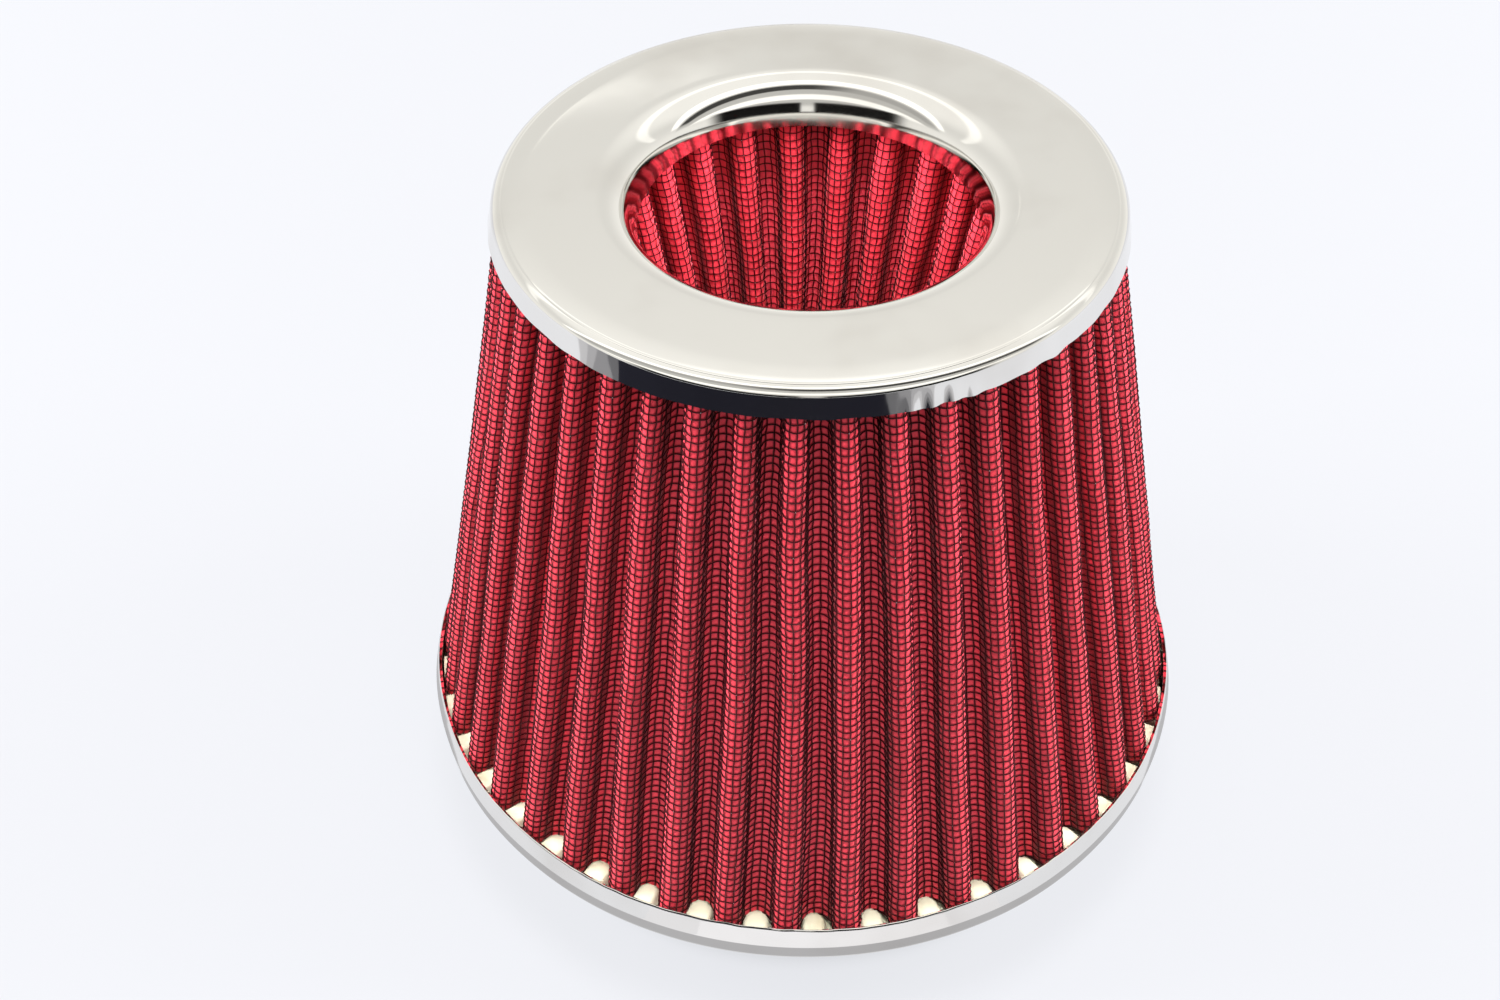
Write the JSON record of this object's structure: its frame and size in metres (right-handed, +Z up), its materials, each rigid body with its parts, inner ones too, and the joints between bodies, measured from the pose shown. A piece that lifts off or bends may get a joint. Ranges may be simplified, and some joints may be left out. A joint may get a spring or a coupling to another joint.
{
  "type": "cone air filter",
  "caption": "Open-top cone air filter: pleated red gauze cones under black wire screens, chrome cap and pan, rubber neck with a worm-drive clamp.",
  "frame": {"origin": "centre of the neck's lower face, which the filter stands on", "axes": "+Z up along the filter's axis, from the neck to the open cap; -Y is the front"},
  "size_m": [0.155, 0.155, 0.1437],
  "materials": {
    "chrome": "bright pressed steel",
    "red_gauze": "oiled cotton gauze",
    "coated_wire": "black epoxy coat",
    "cream_potting": "satin polyurethane",
    "black_rubber": "matte moulded",
    "zinc_steel": "zinc plated",
    "seam_strip": "satin"
  },
  "bodies": {
    "filter": {"top_cap": "chrome", "cap_potting": "cream_potting", "outer_screen": "coated_wire", "outer_gauze": "red_gauze", "outer_back_screen": "coated_wire", "outer_seam_strip": "seam_strip", "inner_screen": "coated_wire", "inner_gauze": "red_gauze", "inner_back_screen": "coated_wire", "inner_seam_strip": "seam_strip", "end_cup": "chrome", "cup_potting": "cream_potting", "base_pan": "chrome", "pan_potting": "cream_potting", "neck": "black_rubber"},
    "clamp": {"clamp_band": "zinc_steel", "clamp_housing": "zinc_steel"},
    "worm_screw": {"clamp_screw": "zinc_steel"}
  },
  "joints": [
    {"name": "clamp_turn", "type": "hinge", "parent": "filter", "child": "clamp", "pos_m": [0, 0, 0.0101], "axis": [0, 0, 1], "continuous": true},
    {"name": "worm_screw_turn", "type": "hinge", "parent": "clamp", "child": "worm_screw", "pos_m": [0.02425, 0.042, 0.0101], "axis": [-0.866, 0.5, 0], "continuous": true}
  ]
}
